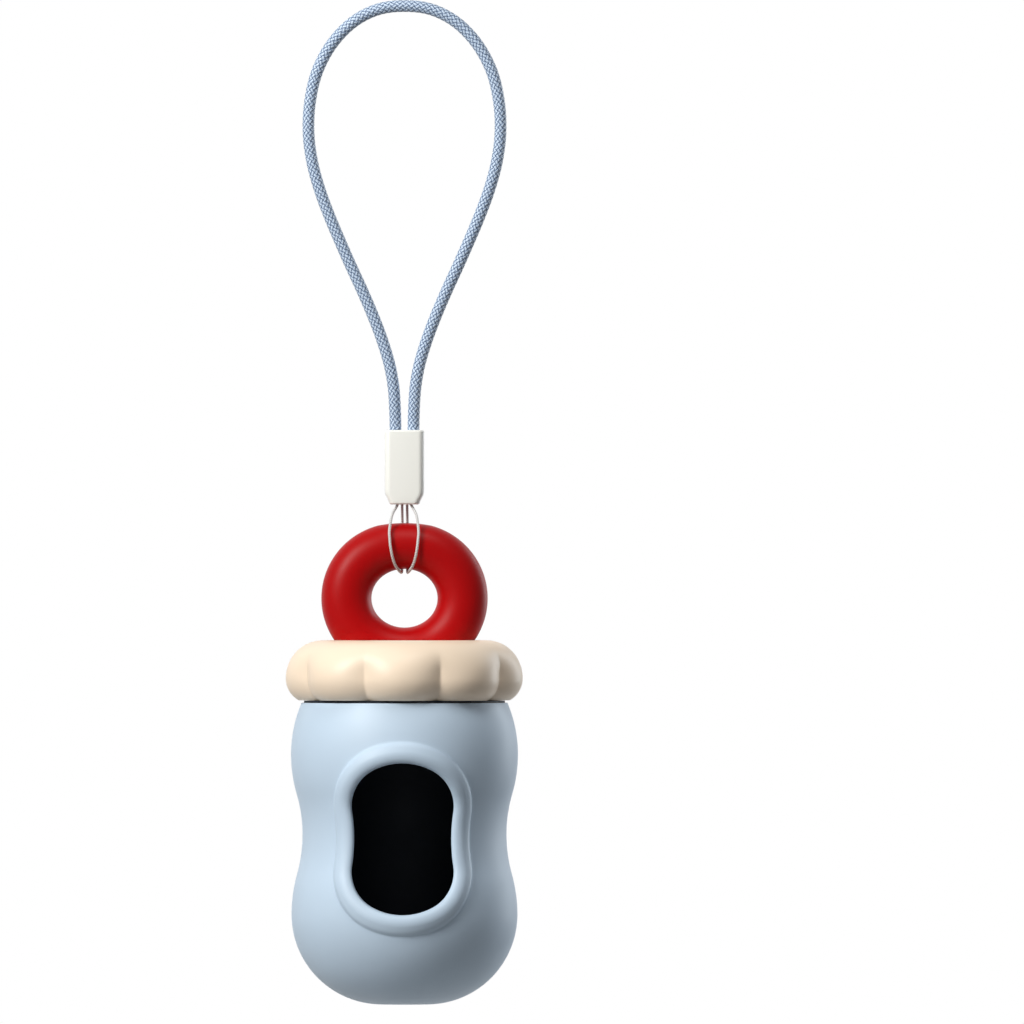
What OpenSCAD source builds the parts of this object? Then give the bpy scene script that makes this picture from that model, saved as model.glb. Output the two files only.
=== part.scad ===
// Hanging dispenser for dog waste bags, shaped like a small nursing bottle.
// A silicone bottle with a peanut window holds one roll, under a lobed cap with a ring.
// The whole thing hangs from a wrist cord. +Z is up and the window faces -Y.
// The origin is the inside of the top of the wrist loop, where a finger or hook holds it.

/* [Bag roll] */
// Diameter of the roll of bags, which sets the width of the cup, the bottle and the cap
roll_d = 31; // [29:0.5:32]
// Height of the roll of bags, which sets the height of the bottle
roll_h = 60; // [58:0.5:63]

/* [Bottle] */
// Thickness of the silicone at the lower swelling
bulge_t = 4.1; // [3.5:0.1:5]
// Thickness of the silicone at the waist
waist_t = 1.9; // [1.4:0.1:2.8]
// Height of the waist above the base
waist_h = 34; // [31:0.5:36]
// Thickness of the silicone at the upper swelling
shoulder_t = 4.2; // [3.8:0.1:5]
// Height of the upper swelling above the base
shoulder_h = 50; // [47:0.5:53]
// Thickness of the silicone at the bottle's top edge
mouth_t = 2.1; // [1.8:0.1:3.2]
// Radius of the rounding between the side and the base
base_round = 18; // [15:0.5:19]
// Radius of the flat that the bottle stands on
base_flat_r = 5.5; // [5:0.5:10]
// Thickness of the silicone under the cup
skin_floor = 2; // [1.5:0.1:2.2]

/* [Window] */
// Width of the window across its two lobes
window_w = 20.4; // [18:0.2:23]
// How far each side of the window draws in at its waist
window_nip = 0.5; // [0.3:0.1:2]
// Height of the window
window_h = 30.3; // [28:0.1:32]
// Distance between the widest points of the two lobes
window_lobes = 13.2; // [11:0.2:14]
// Height of the window's middle above the base
window_mid_h = 33.2; // [31:0.2:34]
// Width of the rolled rim around the window, along the skin
rim_w = 4.3; // [3:0.1:5]
// Height of the rim's crest above the skin
rim_h = 1.2; // [0.6:0.1:1.6]

/* [Inner cup] */
// Wall of the rigid cup inside the silicone
cup_wall = 1.2; // [1:0.1:1.4]
// Rounding between the cup's side and its bottom
cup_round = 12; // [10.5:0.5:13]
// Height of the neck above the silicone's top edge
neck_h = 6; // [4:0.5:7]
// Thickness of the flange that covers the silicone's top edge
flange_t = 0.4; // [0.3:0.1:0.8]

/* [Cap] */
// Height of the cap
cap_h = 12; // [11.5:0.1:14]
// Thickness of the cap's side at the middle of a lobe
cap_side_t = 5.1; // [4.8:0.1:6]
// Number of lobes around the cap
lobes = 9; // [8:1:11]
// Radius of one lobe, seen from above
lobe_r = 10.5; // [9.8:0.1:13.5]
// Rounding of the lobes' upper edge
lobe_top_round = 7.6; // [5:0.1:8.4]
// How far the foot of the lobes draws in under their widest level
lobe_foot_inset = 2.6; // [1.6:0.1:3]
// Thickness of the cap's top
cap_top_t = 2; // [1.6:0.1:2.4]

/* [Plug] */
// Thickness of the plug's plate under the cap's top
plug_plate_t = 2; // [1.8:0.1:2.2]
// Wall of the plug's skirt
skirt_wall = 1.1; // [0.9:0.1:1.4]
// How far the skirt reaches into the bottle, below the silicone's top edge
skirt_reach = 8.3; // [6:0.1:8.6]
// Height of the soft band that grips the neck
band_h = 2.4; // [1.6:0.2:3.2]

/* [Ring] */
// Thickness of the ring's round section
ring_tube_d = 9.5; // [8:0.1:10.4]
// Radius of the centre line of the ring's two half circles
ring_path_r = 10.3; // [10:0.1:12]
// Length of the straight piece between the half circles
ring_straight = 2.8; // [1:0.2:4]
// Height of the ring's centre above the cap
ring_centre_h = 8.4; // [7.5:0.1:9]
// Distance of each screw from the ring's middle
screw_x = 8; // [6:0.5:9]
// Diameter of the screws that hold the ring
screw_d = 2.4; // [2:0.1:2.8]
// Length of the screws
screw_len = 9; // [7:0.5:10]

/* [Cord] */
// Diameter of the wrist cord
cord_d = 2.4; // [1.8:0.1:2.8]
// Diameter of the thin thread
thread_d = 0.6; // [0.4:0.1:0.8]
// Distance from the sleeve down to the top of the ring
thread_drop = 3.7; // [3:0.1:8]

/* [Sleeve] */
// Width of the sleeve that joins the cord's ends
sleeve_w = 7.8; // [7.4:0.1:9]
// Depth of the sleeve, front to back
sleeve_depth = 5; // [4.6:0.1:6]
// Length of the sleeve
sleeve_len = 14.9; // [13:0.1:18]
// Width of the sleeve's lower end
sleeve_tip_w = 5.6; // [5.2:0.1:7]
// Height of the taper at the sleeve's lower end
sleeve_taper_h = 2; // [1:0.1:3]

/* [Hidden] */

$fn = 64;

// Clearances
glue_gap = 0.05;
seat_gap = 0.1;
slide_gap = 0.15;
roll_gap = 1.7;
neck_gap = 0.4;
cut = 1;

// Right half of the wrist loop's centre line, from the sleeve up to the top, as [x, z]
loop_half = [[1.8, -92], [1.8, -88], [1.8, -83.6], [1.9, -79.5], [2.2, -75], [3, -70.5],
             [4.5, -65.5], [6.4, -60.5], [8.5, -55.6], [10.8, -50.6], [13, -45.6], [15.1, -40.6],
             [17, -35.4], [18.5, -29.8], [19.2, -24], [18.9, -18], [17.5, -12], [14.6, -6.5],
             [10.4, -2.1], [5.4, 0.5], [0, 1.2]];
strand_x = loop_half[0][0];
cord_end_z = loop_half[0][1];
sleeve_top_z = loop_half[2][1];

// Heights that follow from the pieces' sizes, from the sleeve down
sleeve_tip_z = sleeve_top_z - sleeve_len;
swing_up = 0.2;
swing_z = sleeve_tip_z + swing_up;
ring_tube_r = ring_tube_d / 2;
ring_bar_z = sleeve_tip_z - thread_drop - ring_tube_r;
ring_z = ring_bar_z - ring_path_r;
cap_top_z = ring_z - ring_centre_h;
cap_foot_z = cap_top_z - cap_h;
flange_z = cap_foot_z - seat_gap;
skin_top_z = flange_z - flange_t;
roll_below_top = 0.3;
bottle_h = roll_h + roll_below_top;
base_z = skin_top_z - bottle_h;

// Radii from the roll outwards: the cup, its plug, the silicone round it and the cap
cup_r = roll_d / 2 + roll_gap;
cup_out_r = cup_r + cup_wall;
skirt_out_r = cup_r - slide_gap;
skirt_r = skirt_out_r - skirt_wall;
pocket_r = cup_out_r + seat_gap;
bulge_r = pocket_r + bulge_t;
waist_r = pocket_r + waist_t;
shoulder_r = pocket_r + shoulder_t;
mouth_r = pocket_r + mouth_t;
flange_edge = 0.5;
flange_r = mouth_r - flange_edge;
recess_r = cup_out_r + neck_gap;
cap_r = recess_r + cap_side_t;

// Outline of the bottle as tangent arcs, each [centre radius, centre height, arc radius, from, to]:
// the base's corner, an S-curve up to the waist, one up to the shoulder, and the curve to the mouth.
// It runs a little past the base and the top edge, which are cut flat.
corner_x = bulge_r - base_round;
flat_angle = acos((base_flat_r - corner_x) / base_round);
past_top = 1.5;
bulge_h = base_round * sin(flat_angle);
lower_curve = s_radius(bulge_r, bulge_h, waist_r, waist_h);
upper_curve = s_radius(waist_r, waist_h, shoulder_r, shoulder_h);
mouth_drop = shoulder_r - mouth_r;
mouth_curve = (pow(bottle_h - shoulder_h, 2) + pow(mouth_drop, 2)) / (2 * mouth_drop);
lower_turn = asin((waist_h - bulge_h) / 2 / lower_curve);
upper_turn = asin((shoulder_h - waist_h) / 2 / upper_curve);
bottle_arcs = [
    [corner_x, bulge_h, base_round, -90, 0],
    [bulge_r - lower_curve, bulge_h, lower_curve, 0, lower_turn],
    [waist_r + lower_curve, waist_h, lower_curve, 180 + lower_turn, 180],
    [waist_r + upper_curve, waist_h, upper_curve, 180, 180 - upper_turn],
    [shoulder_r - upper_curve, shoulder_h, upper_curve, -upper_turn, 0],
    [shoulder_r - mouth_curve, shoulder_h, mouth_curve, 0, asin((bottle_h + past_top - shoulder_h) / mouth_curve)]];

// Radius of the two equal arcs that join two upright tangents
function s_radius(r0, h0, r1, h1) = (pow(h1 - h0, 2) + pow(r1 - r0, 2)) / (4 * abs(r1 - r0));
function arc_length(a) = a[2] * abs(a[4] - a[3]) * PI / 180;
function arc_point(a, angle) = [a[0] + a[2] * cos(angle), a[1] + a[2] * sin(angle)];
// Radius and height of the outline at a length from its lower end
function outline_at(v, i = 0) =
    let (a = bottle_arcs[i], long = arc_length(a))
    v <= long || i == len(bottle_arcs) - 1
        ? arc_point(a, a[3] + (a[4] - a[3]) * min(v / long, 1))
        : outline_at(v - long, i + 1);
// Length along the outline at a height, and the outside radius there
function arc_index(h, i = 0) =
    i == len(bottle_arcs) - 1 || h <= arc_point(bottle_arcs[i], bottle_arcs[i][4])[1] ? i : arc_index(h, i + 1);
function arc_angle(a, h) = let (up = asin((h - a[1]) / a[2])) abs(a[3]) > 90 ? 180 - up : up;
function before(i) = i == 0 ? 0 : arc_length(bottle_arcs[i - 1]) + before(i - 1);
function length_at(h) =
    let (i = arc_index(h), a = bottle_arcs[i]) before(i) + a[2] * abs(arc_angle(a, h) - a[3]) * PI / 180;
function bottle_r(h) = let (a = bottle_arcs[arc_index(h)]) arc_point(a, arc_angle(a, h))[0];
outline_length = before(len(bottle_arcs));

// Window outline: two lobes with a shallow waist, as tangent arcs
lobe_side_r = 8;
window_waist_w = window_w - 2 * window_nip;
window_waist_r = (pow(window_nip, 2) + pow(window_lobes / 2, 2)) / (2 * window_nip) - lobe_side_r;
lobe_side_x = window_w / 2 - lobe_side_r;
lobe_rise = window_h / 2 - window_lobes / 2;
lobe_end_r = (pow(lobe_side_x, 2) + pow(lobe_rise, 2) - pow(lobe_side_r, 2)) / (2 * (lobe_rise - lobe_side_r));
lobe_end_z = window_h / 2 - lobe_end_r;
waist_sweep = atan2(window_lobes / 2, window_waist_w / 2 + window_waist_r - lobe_side_x);
end_sweep = atan2(lobe_side_x, window_lobes / 2 - lobe_end_z);

function arc(centre, r, from, to, steps) =
    [for (i = [0 : steps - 1]) let (a = from + (to - from) * i / steps) centre + r * [cos(a), sin(a)]];
// A quarter of the outline, from the waist at the side up to the top
waist_steps = 6;
side_steps = 11;
end_steps = 7;
quarter_line = concat(
    arc([window_waist_w / 2 + window_waist_r, 0], window_waist_r, 180, 180 - waist_sweep, waist_steps),
    arc([lobe_side_x, window_lobes / 2], lobe_side_r, -waist_sweep, 90 - end_sweep, side_steps),
    arc([0, lobe_end_z], lobe_end_r, 90 - end_sweep, 90, end_steps));
quarter = waist_steps + side_steps + end_steps;
stations = 4 * quarter;
half = 2 * quarter;
window_line = concat(
    quarter_line, [[0, window_h / 2]],
    [for (i = [quarter - 1 : -1 : 1]) [-quarter_line[i][0], quarter_line[i][1]]],
    [for (p = quarter_line) [-p[0], -p[1]]], [[0, -window_h / 2]],
    [for (i = [quarter - 1 : -1 : 1]) [quarter_line[i][0], -quarter_line[i][1]]]);

// The window's line laid on the bottle: length around the bottle, and height above the base
skin_line = [for (p = window_line) let (h = window_mid_h + p[1], r = bottle_r(h)) [r * asin(p[0] / r) * PI / 180, h]];
function unit(v) = v / norm(v);
function outward(line, i) =
    let (a = line[(i + stations - 1) % stations], b = line[(i + 1) % stations], t = unit(b - a))
    [t[1], -t[0]];
// A point on a circle around the bottle's axis, by its angle from the front
function around(r, angle, h) = [r * sin(angle), -r * cos(angle), base_z + h];
// Section of the rim, as shares of its width and height, from the window outwards: a rounded lip,
// a shallow dish and a small bead along its outer edge
rim_section = [[0, 0], [0.02, 0.36], [0.06, 0.68], [0.12, 0.91], [0.19, 1], [0.27, 0.93], [0.37, 0.74],
               [0.47, 0.6], [0.56, 0.57], [0.65, 0.65], [0.74, 0.7], [0.83, 0.58], [0.92, 0.26], [1, 0]];
function rim_place(i, offset) =
    let (q = skin_line[i] + offset * outward(skin_line, i)) [q[0] / bottle_r(q[1]) * 180 / PI, q[1]];
function rim_point(i, offset, height) =
    let (q = rim_place(i, offset)) around(bottle_r(q[1]) + height, q[0], q[1]);

// The skin is a net of lines that start at the window and end on the bottle's top edge, on the
// edge of its base, or on the seam where both sides meet behind the window
seam_steps = 7;
function share_up(i) = let (q = i % half, k = min(q, half - q)) min(k / seam_steps, 1);
function share_round(i) = let (q = i % half, k = min(q, half - q)) max((k - seam_steps) / (quarter - seam_steps), 0);
function side_of(i) = i % half == quarter ? 0 : i < quarter || i > half + quarter ? 1 : -1;
function goes_up(i) = i <= half;
function far_angle(i) = side_of(i) * 180 * (1 - share_round(i));
function far_length(i, middle, top) = middle + (goes_up(i) ? top - middle : -middle) * share_up(i);

outer_steps = 13;
pit_y = -0.7 * pocket_r;
function outer_line(i) =
    let (q = rim_place(i, rim_w), v = length_at(q[1]), to_angle = far_angle(i),
         to_v = far_length(i, length_at(window_mid_h), outline_length))
    [for (j = [1 : outer_steps])
        let (t = pow(j / outer_steps, 1.15), p = outline_at(v + (to_v - v) * t))
        around(p[0], q[0] + (to_angle - q[0]) * t, p[1])];
function window_line_out(i) = concat(
    [[window_line[i][0], pit_y, base_z + window_mid_h + window_line[i][1]]],
    [for (p = rim_section) rim_point(i, p[0] * rim_w, p[1] * rim_h)],
    outer_line(i));

// A tube along a line of points, with its first ring turned towards ref
function tube_ring(path, i, r, sides, ref) =
    let (a = path[max(i - 1, 0)], b = path[min(i + 1, len(path) - 1)], t = unit(b - a),
         u = unit(ref - (ref * t) * t), v = cross(t, u))
    [for (k = [0 : sides - 1]) path[i] + r * (cos(360 * k / sides) * u + sin(360 * k / sides) * v)];

module tube(path, r, ref, sides = 8) {
    rings = len(path);
    points = [for (i = [0 : rings - 1]) each tube_ring(path, i, r, sides, ref)];
    sides_out = [for (i = [0 : rings - 2], k = [0 : sides - 1])
        let (n = (k + 1) % sides) [i * sides + k, (i + 1) * sides + k, (i + 1) * sides + n, i * sides + n]];
    first_end = [[for (k = [0 : sides - 1]) k]];
    last_end = [[for (k = [sides - 1 : -1 : 0]) (rings - 1) * sides + k]];
    polyhedron(points, concat(sides_out, first_end, last_end));
}

// A rectangle with rounded corners
module rounded(w, d, r) {
    square([w - 2 * r, d], center = true);
    square([w, d - 2 * r], center = true);
    for (x = [-1, 1], y = [-1, 1]) translate([x * (w / 2 - r), y * (d / 2 - r)]) circle(r);
}

loop_points = concat(
    [for (p = loop_half) [p[0], 0, p[1]]],
    [for (i = [len(loop_half) - 2 : -1 : 0]) [-loop_half[i][0], 0, loop_half[i][1]]]);

module wrist_cord() {
    color("lightsteelblue") tube(loop_points, cord_d / 2, [0, 1, 0]);
}

// The sleeve holds the cord's two ends and the knot of the thin thread
corner_r = 1.2;
knot_r = 1.2;
pocket_w = 4.4;
pocket_d = 2.6;
pocket_top_z = sleeve_tip_z + 4.2;
knot_z = pocket_top_z - seat_gap / 2 - knot_r;
mouth_scoop_r = 2.3;

module sleeve_body() {
    slope = (sleeve_w - sleeve_tip_w) / 2;
    difference() {
        translate([0, 0, sleeve_tip_z]) linear_extrude(sleeve_len) rounded(sleeve_w, sleeve_depth, corner_r);
        for (side = [-1, 1])
            translate([side * sleeve_tip_w / 2, 0, sleeve_tip_z])
                rotate([0, side * atan2(slope, sleeve_taper_h), 0])
                    translate([side * sleeve_w / 2, 0, 0])
                        cube([sleeve_w, sleeve_depth + 2 * cut, 4 * sleeve_taper_h], center = true);
    }
}

module cord_sleeve() {
    color("ivory") difference() {
        sleeve_body();
        for (side = [-1, 1])
            translate([side * strand_x, 0, cord_end_z])
                cylinder(h = sleeve_top_z - cord_end_z + cut, r = cord_d / 2 + glue_gap);
        translate([0, 0, sleeve_tip_z - cut])
            linear_extrude(pocket_top_z - sleeve_tip_z + cut) rounded(pocket_w, pocket_d, 0.8);
        translate([0, 0, swing_z])
            rotate([90, 0, 0]) cylinder(h = pocket_d, r = mouth_scoop_r, center = true);
    }
}

module thread_knot() {
    color("gainsboro") translate([0, 0, knot_z]) sphere(knot_r);
}

// One loop of thread: from the sleeve down the front of the ring, under its bar and up behind.
// Each row is a half width, an angle around the bar from its top, and the gap to the bar.
thread_turns = [[2.9, 52, 0.45], [2.85, 72, 0.45], [2.65, 92, 0.45], [2.3, 112, 0.4], [1.8, 132, 0.3],
                [1.2, 152, 0.15], [0.75, 170, 0.1], [0.6, 190, 0.1], [0.55, 212, 0.1], [0.5, 236, 0.1],
                [0.5, 260, 0.1], [0.5, 284, 0.1], [0.5, 306, 0.15]];
thread_top_z = knot_z - knot_r - seat_gap;

function thread_path(side) = concat(
    [[side * 1.1, -0.5, thread_top_z], [side * 1.35, -0.8, sleeve_tip_z],
     [side * 2.4, -2.3, sleeve_tip_z - 0.55 * thread_drop]],
    [for (w = thread_turns)
        let (r = ring_tube_r + thread_d / 2 + w[2])
        [side * w[0], -r * sin(w[1]), ring_bar_z + r * cos(w[1])]],
    [[side * 0.5, 0.8, sleeve_tip_z], [side * 0.5, 0.5, thread_top_z]]);

module thread_loop_left() {
    color("gainsboro") tube(thread_path(-1), thread_d / 2, [1, 0, 0]);
}

module thread_loop_right() {
    color("gainsboro") tube(thread_path(1), thread_d / 2, [1, 0, 0]);
}

// The ring is two half circles with a short straight bar between them, cut off flat at the cap.
// A tongue under the flat goes through the cap's top and takes the screws.
tongue_w = 2 * screw_x + 6;
tongue_d = 4;

module ring_outline() {
    for (side = [0, 180])
        rotate([0, side, 0]) translate([ring_straight / 2, 0, 0])
            rotate([90, 0, 0]) rotate([0, 0, -90])
                rotate_extrude(angle = 180) translate([ring_path_r, 0]) circle(ring_tube_r);
    for (level = [-1, 1])
        translate([0, 0, level * ring_path_r]) rotate([0, 90, 0])
            cylinder(h = ring_straight, r = ring_tube_r, center = true);
}

module ring() {
    color("firebrick") difference() {
        union() {
            difference() {
                translate([0, 0, ring_z]) ring_outline();
                translate([0, 0, cap_top_z - 20]) cube([60, 30, 40], center = true);
            }
            translate([0, 0, cap_top_z - cap_top_t]) linear_extrude(cap_top_t + 1) rounded(tongue_w, tongue_d, 1.9);
        }
        for (side = [-1, 1])
            translate([side * screw_x, 0, screw_seat_z + 0.8])
                cylinder(h = screw_len - 0.4, r = screw_d / 2 + glue_gap);
    }
}

// Countersunk screws from inside the cap, through the plug's plate into the ring
screw_seat_z = cap_top_z - cap_top_t - plug_plate_t;
head_r = screw_d;
head_h = 1.2;

module ring_screws() {
    color("silver") for (side = [-1, 1])
        translate([side * screw_x, 0, screw_seat_z]) difference() {
            union() {
                cylinder(h = head_h, r1 = head_r, r2 = screw_d / 2);
                translate([0, 0, head_h / 2]) cylinder(h = screw_len - head_h / 2, r = screw_d / 2);
            }
            for (turn = [0, 90])
                rotate([0, 0, turn]) cube([head_r * 1.1, 0.5, 1.4], center = true);
        }
}

// The cap's side is lobed: each lobe is a round puff that fades out towards the cap's top
lobe_steps = 10;
lobe_centre = cap_r - lobe_r;
function lobe_dip(angle) =
    let (whole = 360 / lobes, b = angle - whole * round(angle / whole))
    cap_r - lobe_centre * cos(b) - sqrt(pow(lobe_r, 2) - pow(lobe_centre * sin(b), 2));
// Section of a lobe as [radius, height], from the edge of the flat top down to the foot
lobe_foot_h = cap_h - lobe_top_round;
lobe_foot_curve = (pow(lobe_foot_h, 2) + pow(lobe_foot_inset, 2)) / (2 * lobe_foot_inset);
lobe_foot_turn = asin(lobe_foot_h / lobe_foot_curve);
foot_steps = 5;
cap_section = concat(
    [for (a = [90 : -15 : 0]) [cap_r - lobe_top_round * (1 - cos(a)), -lobe_top_round * (1 - sin(a))]],
    [for (i = [1 : foot_steps]) let (a = lobe_foot_turn * i / foot_steps)
        [cap_r - lobe_foot_curve * (1 - cos(a)), -lobe_top_round - lobe_foot_curve * sin(a)]]);
function dip_share(h) = let (t = min(-h / lobe_top_round, 1)) t * t * (3 - 2 * t);

module cap_outside() {
    sides = lobes * lobe_steps;
    levels = len(cap_section);
    points = [for (p = cap_section, i = [0 : sides - 1])
        let (a = 360 * i / sides, r = p[0] - lobe_dip(a) * dip_share(p[1]))
        [r * sin(a), -r * cos(a), p[1]]];
    wall = [for (k = [0 : levels - 2], i = [0 : sides - 1])
        let (j = (i + 1) % sides) [k * sides + i, k * sides + j, (k + 1) * sides + j, (k + 1) * sides + i]];
    top = [[for (i = [sides - 1 : -1 : 0]) i]];
    foot = [[for (i = [0 : sides - 1]) (levels - 1) * sides + i]];
    polyhedron(points, concat(wall, top, foot));
}

module cap_cover() {
    color("blanchedalmond") translate([0, 0, cap_top_z]) difference() {
        cap_outside();
        translate([0, 0, -cap_h - cut]) cylinder(h = cap_h - cap_top_t + cut, r = recess_r);
        translate([0, 0, -cap_top_t - cut]) linear_extrude(cap_top_t + 2 * cut)
            rounded(tongue_w + 2 * seat_gap, tongue_d + 2 * seat_gap, 2);
    }
}

// The plug: a plate screwed under the cap's top, and a skirt that goes into the bottle's neck
skirt_foot_z = skin_top_z - skirt_reach;
band_z = skin_top_z - skirt_reach / 2;
groove_depth = 0.6;
rib_r = 0.3;

module cap_plug() {
    color("linen") difference() {
        union() {
            translate([0, 0, screw_seat_z]) cylinder(h = plug_plate_t, r = recess_r - seat_gap);
            translate([0, 0, skirt_foot_z]) cylinder(h = screw_seat_z - skirt_foot_z, r = skirt_out_r);
        }
        translate([0, 0, skirt_foot_z - cut]) cylinder(h = screw_seat_z - skirt_foot_z + cut, r = skirt_r);
        translate([0, 0, band_z - band_h / 2]) difference() {
            cylinder(h = band_h, r = skirt_out_r + cut);
            translate([0, 0, -cut]) cylinder(h = band_h + 2 * cut, r = skirt_out_r - groove_depth);
        }
        for (side = [-1, 1]) translate([side * screw_x, 0, screw_seat_z]) {
            translate([0, 0, -cut]) cylinder(h = plug_plate_t + 2 * cut, r = screw_d / 2 + seat_gap);
            cylinder(h = head_h, r1 = head_r + glue_gap, r2 = screw_d / 2 + glue_gap);
        }
    }
}

// Soft band in the skirt's groove, with two ribs that rub on the neck
module grip_band() {
    color("dimgray") translate([0, 0, band_z]) rotate_extrude() {
        translate([skirt_out_r - groove_depth + glue_gap, -band_h / 2 + glue_gap])
            square([groove_depth - 2 * glue_gap, band_h - 2 * glue_gap]);
        for (level = [-1, 1])
            translate([cup_r - glue_gap - rib_r, level * (band_h / 2 - rib_r - glue_gap)]) circle(rib_r);
    }
}

// Outline of the cup: straight sides and a rounded bottom
module cup_outline(r, round, floor_h, top_h) {
    translate([0, floor_h]) square([r - round, top_h - floor_h]);
    translate([0, floor_h + round]) square([r, top_h - floor_h - round]);
    intersection() {
        translate([0, floor_h]) square([r, round + 1]);
        translate([r - round, floor_h + round]) circle(round, $fn = 128);
    }
}

// The cup's window is a little larger than the skin's, whose rim hides its edge
window_step = 0.6;

module inner_cup() {
    top_h = bottle_h + flange_t + neck_h;
    color("#1a1c20") difference() {
        translate([0, 0, base_z]) rotate_extrude() difference() {
            union() {
                cup_outline(cup_out_r, cup_round - seat_gap, skin_floor, top_h);
                translate([0, bottle_h]) square([flange_r, flange_t]);
            }
            cup_outline(cup_r, cup_round - seat_gap - cup_wall, skin_floor + cup_wall, top_h + cut);
        }
        translate([0, -cut, base_z + window_mid_h]) rotate([90, 0, 0]) linear_extrude(bulge_r + cut)
            polygon([for (i = [0 : stations - 1]) window_line[i] + window_step * outward(window_line, i)]);
    }
}

// The skin's outside is one closed net, with the rolled rim and the window's wall in it
module skin_outside() {
    lines = [for (i = [0 : stations - 1]) window_line_out(i)];
    n = len(lines[0]);
    points = [for (line = lines) each line];
    // Behind the window, the ends of the left and right lines are the same points
    function place(i, k) = k == n - 1 && side_of(i) < 0 && share_round(i) == 0
        ? (half - i + stations) % stations * n + k : i * n + k;
    function across(a, b) = norm(points[a] - points[b]);
    net = [for (i = [0 : stations - 1], k = [0 : n - 2])
        let (j = (i + 1) % stations, a = place(i, k), b = place(j, k), c = place(j, k + 1), d = place(i, k + 1))
        each across(a, c) < across(b, d) ? [[a, b, c], [a, c, d]] : [[a, b, d], [b, c, d]]];
    pit = [[for (i = [stations - 1 : -1 : 0]) place(i, 0)]];
    top = [[for (i = [seam_steps : half - seam_steps - 1]) place(i, n - 1)]];
    foot = [[for (i = [half + seam_steps : stations - seam_steps - 1]) place(i, n - 1)]];
    polyhedron(points, concat(net, pit, top, foot));
}

module bottle_skin() {
    color("lightsteelblue") difference() {
        skin_outside();
        translate([0, 0, base_z]) rotate_extrude() {
            translate([0, -cut]) square([bulge_r, cut]);
            cup_outline(pocket_r, cup_round, skin_floor, bottle_h + past_top + cut);
            translate([0, bottle_h]) square([shoulder_r + cut, past_top + cut]);
        }
    }
}

wrist_cord();
cord_sleeve();
thread_knot();
thread_loop_left();
thread_loop_right();
ring();
ring_screws();
cap_cover();
cap_plug();
grip_band();
inner_cup();
bottle_skin();
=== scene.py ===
from math import acos, asin, atan2, cos, degrees, pi, radians, sin

import bmesh
import bpy
import numpy as np
from mathutils import Matrix, Vector


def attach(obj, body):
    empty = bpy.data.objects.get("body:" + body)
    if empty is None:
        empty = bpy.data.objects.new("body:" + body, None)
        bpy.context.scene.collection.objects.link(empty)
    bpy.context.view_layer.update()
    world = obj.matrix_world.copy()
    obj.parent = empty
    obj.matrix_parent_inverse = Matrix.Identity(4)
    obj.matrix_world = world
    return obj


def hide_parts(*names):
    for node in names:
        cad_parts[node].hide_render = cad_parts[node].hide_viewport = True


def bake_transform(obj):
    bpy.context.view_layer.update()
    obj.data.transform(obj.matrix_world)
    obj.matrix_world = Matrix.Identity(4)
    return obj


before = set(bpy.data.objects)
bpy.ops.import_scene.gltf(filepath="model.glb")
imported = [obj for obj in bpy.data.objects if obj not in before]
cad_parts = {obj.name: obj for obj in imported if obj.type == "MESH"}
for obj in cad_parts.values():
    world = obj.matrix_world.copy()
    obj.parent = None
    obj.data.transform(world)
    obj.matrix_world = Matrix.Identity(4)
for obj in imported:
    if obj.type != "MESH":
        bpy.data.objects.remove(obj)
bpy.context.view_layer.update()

MM = 0.001

# Studio: a far camera with a long lens looks straight at the front, as in the photograph. A soft
# lamp up on the left lights the object, one above helps, and a dim one behind on the right draws
# its right edge. The floor is pale to the eye and throws little light back.
scene = bpy.context.scene
scene.view_settings.view_transform = "Standard"

PHOTO_SIDE, PHOTO_MM_PER_PIXEL = 1024, 0.2
PHOTO_AXIS_COLUMN, PHOTO_ORIGIN_ROW = 404.5, 12
CAMERA_DISTANCE, CAMERA_TURN = 6.0, radians(1.0)
SENSOR_W = 36

aim_x = (PHOTO_SIDE / 2 - PHOTO_AXIS_COLUMN) * PHOTO_MM_PER_PIXEL * MM
aim_z = (PHOTO_ORIGIN_ROW - PHOTO_SIDE / 2) * PHOTO_MM_PER_PIXEL * MM
camera_data = bpy.data.cameras.new("camera")
camera_data.sensor_width = SENSOR_W
camera_data.lens = SENSOR_W * CAMERA_DISTANCE / (PHOTO_SIDE * PHOTO_MM_PER_PIXEL * MM)
camera_data.clip_end = 20
camera = bpy.data.objects.new("camera", camera_data)
camera.location = Matrix.Rotation(CAMERA_TURN, 3, "Z") @ Vector((aim_x, -CAMERA_DISTANCE, aim_z))
camera.rotation_euler = (pi / 2, 0, CAMERA_TURN)
scene.collection.objects.link(camera)
scene.camera = camera


def softbox(name, spot, size, watts, colour):
    """A rectangular lamp that faces the object's middle. Sizes are in metres."""
    middle = Vector((0, 0, -0.11))
    light = bpy.data.lights.new(name, "AREA")
    light.shape = "RECTANGLE"
    light.size, light.size_y = size
    light.energy = watts
    light.color = colour
    lamp = bpy.data.objects.new(name, light)
    scene.collection.objects.link(lamp)
    lamp.location = spot
    lamp.rotation_euler = (middle - Vector(spot)).to_track_quat("-Z", "Y").to_euler()


softbox("key_light", (-0.61, -0.57, 0.35), (0.35, 0.45), 8.6, (1.0, 0.985, 0.945))
softbox("top_light", (0.06, -0.33, 0.56), (0.3, 0.3), 1.7, (1.0, 0.985, 0.95))
softbox("edge_light", (0.6, 0.5, 0.05), (0.3, 0.6), 2.3, (0.9, 0.96, 1.0))


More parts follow.
